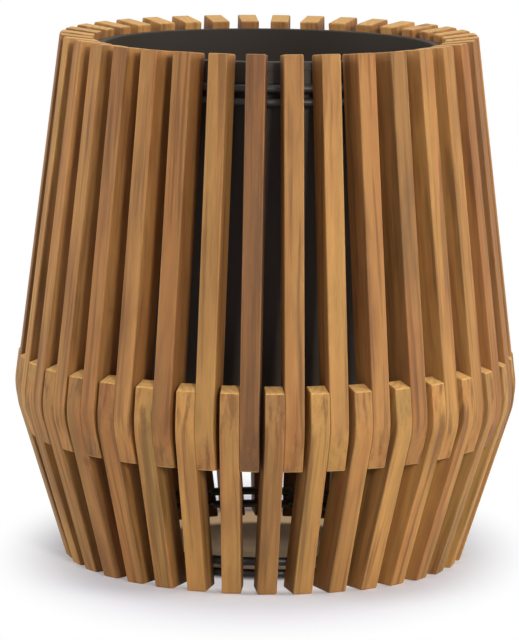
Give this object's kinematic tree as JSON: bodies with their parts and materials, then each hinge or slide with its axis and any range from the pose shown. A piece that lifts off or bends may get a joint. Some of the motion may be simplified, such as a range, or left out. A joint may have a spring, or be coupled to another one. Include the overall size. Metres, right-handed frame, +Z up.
{
  "type": "floor planter",
  "caption": "Round slatted wooden floor planter, widest at its low waist and narrower at the rim and the foot, with metal bar hoops inside and a lift-out plastic pot.",
  "frame": {"origin": "centre of the ring of feet, on the floor", "axes": "+Z up along the planter's axis, -Y towards the first pair of slats at the front"},
  "size_m": [0.4888, 0.4888, 0.5098],
  "materials": {
    "wood": "oiled",
    "hoop_paint": "satin",
    "screw_steel": "satin",
    "dowel_wood": "raw",
    "pot_plastic": "matt"
  },
  "bodies": {
    "planter": {"upper_slat_01": "wood", "upper_slat_02": "wood", "upper_slat_03": "wood", "upper_slat_04": "wood", "upper_slat_05": "wood", "upper_slat_06": "wood", "upper_slat_07": "wood", "upper_slat_08": "wood", "upper_slat_09": "wood", "upper_slat_10": "wood", "upper_slat_11": "wood", "upper_slat_12": "wood", "upper_slat_13": "wood", "upper_slat_14": "wood", "upper_slat_15": "wood", "upper_slat_16": "wood", "upper_slat_17": "wood", "upper_slat_18": "wood", "upper_slat_19": "wood", "upper_slat_20": "wood", "upper_slat_21": "wood", "upper_slat_22": "wood", "upper_slat_23": "wood", "upper_slat_24": "wood", "upper_slat_25": "wood", "upper_slat_26": "wood", "upper_slat_27": "wood", "upper_slat_28": "wood", "upper_slat_29": "wood", "upper_slat_30": "wood", "upper_slat_31": "wood", "upper_slat_32": "wood", "upper_slat_33": "wood", "upper_slat_34": "wood", "upper_slat_35": "wood", "upper_slat_36": "wood", "lower_slats_01": "wood", "lower_slats_02": "wood", "lower_slats_03": "wood", "lower_slats_04": "wood", "lower_slats_05": "wood", "lower_slats_06": "wood", "lower_slats_07": "wood", "lower_slats_08": "wood", "lower_slats_09": "wood", "lower_slats_10": "wood", "lower_slats_11": "wood", "lower_slats_12": "wood", "top_hoop_upper": "hoop_paint", "top_hoop_lower": "hoop_paint", "foot_hoop_upper": "hoop_paint", "foot_hoop_lower": "hoop_paint", "top_screws_upper": "screw_steel", "top_screws_lower": "screw_steel", "foot_screws_upper": "screw_steel", "foot_screws_lower": "screw_steel", "pair_dowels": "dowel_wood"},
    "pot": {"pot": "pot_plastic"}
  },
  "joints": [
    {"name": "pot_lift", "type": "slide", "parent": "planter", "child": "pot", "axis": [0, 0, 1], "range_m": [0, 0.42]}
  ]
}
